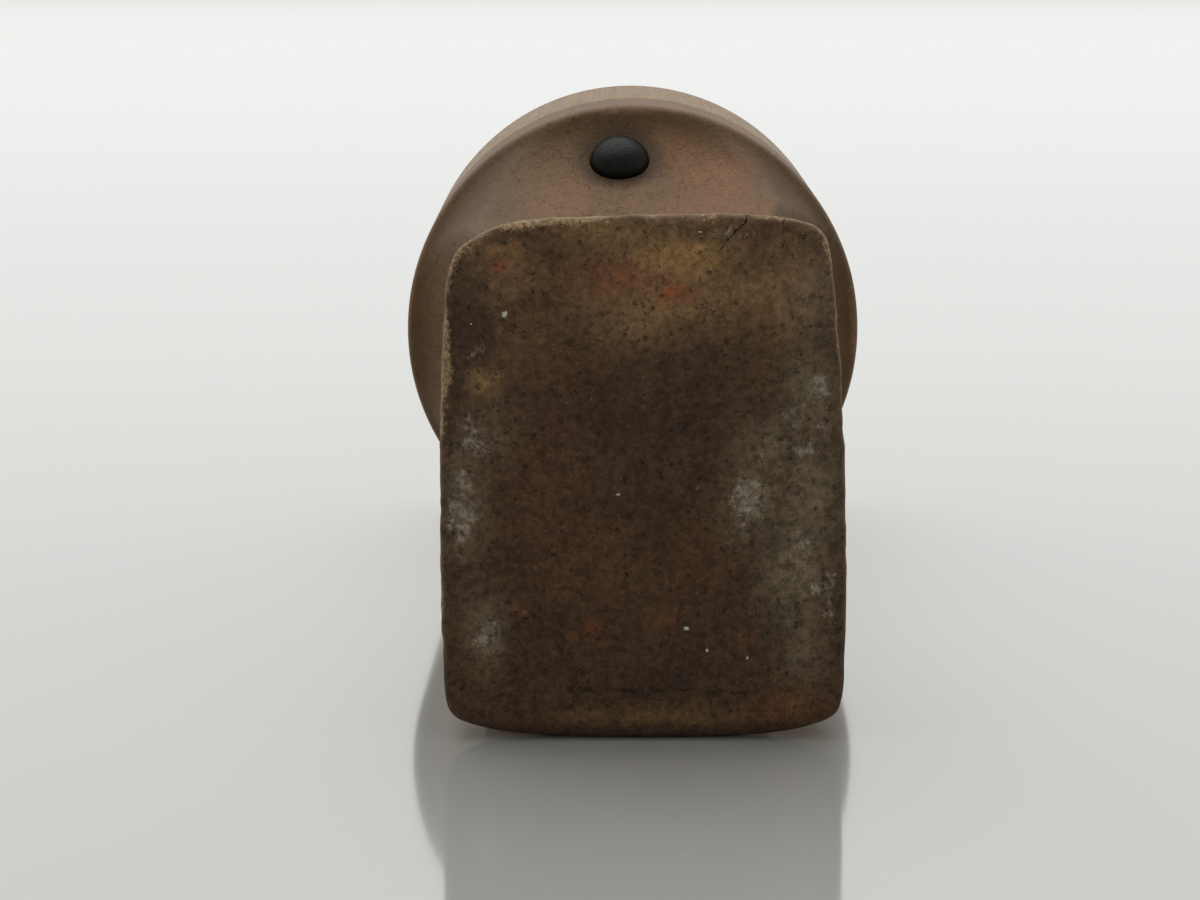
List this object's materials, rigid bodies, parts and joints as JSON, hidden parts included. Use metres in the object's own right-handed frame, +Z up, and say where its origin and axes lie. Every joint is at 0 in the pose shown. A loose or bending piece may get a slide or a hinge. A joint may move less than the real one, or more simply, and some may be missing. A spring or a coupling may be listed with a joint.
{
  "type": "hanko seal",
  "caption": "Round hanko seal lying on its side: waisted wooden handle with a rounded square head, a carved boxwood face and a domed horn peg on its upper side.",
  "frame": {"origin": "middle of the footprint, on the surface that the seal lies on", "axes": "+Y towards the carved face, along the seal; +Z up, on the side with the peg; +X to the right seen from the head end"},
  "size_m": [0.018, 0.0386, 0.0183],
  "materials": {
    "handle_wood": "old hand-worn brown wood, satin, with ink stains",
    "boxwood": "aged boxwood, satin, stained by ink at the face",
    "black_horn": "polished black horn"
  },
  "bodies": {
    "root": {"handle": "handle_wood", "seal_die": "boxwood", "orientation_peg": "black_horn"}
  },
  "joints": []
}
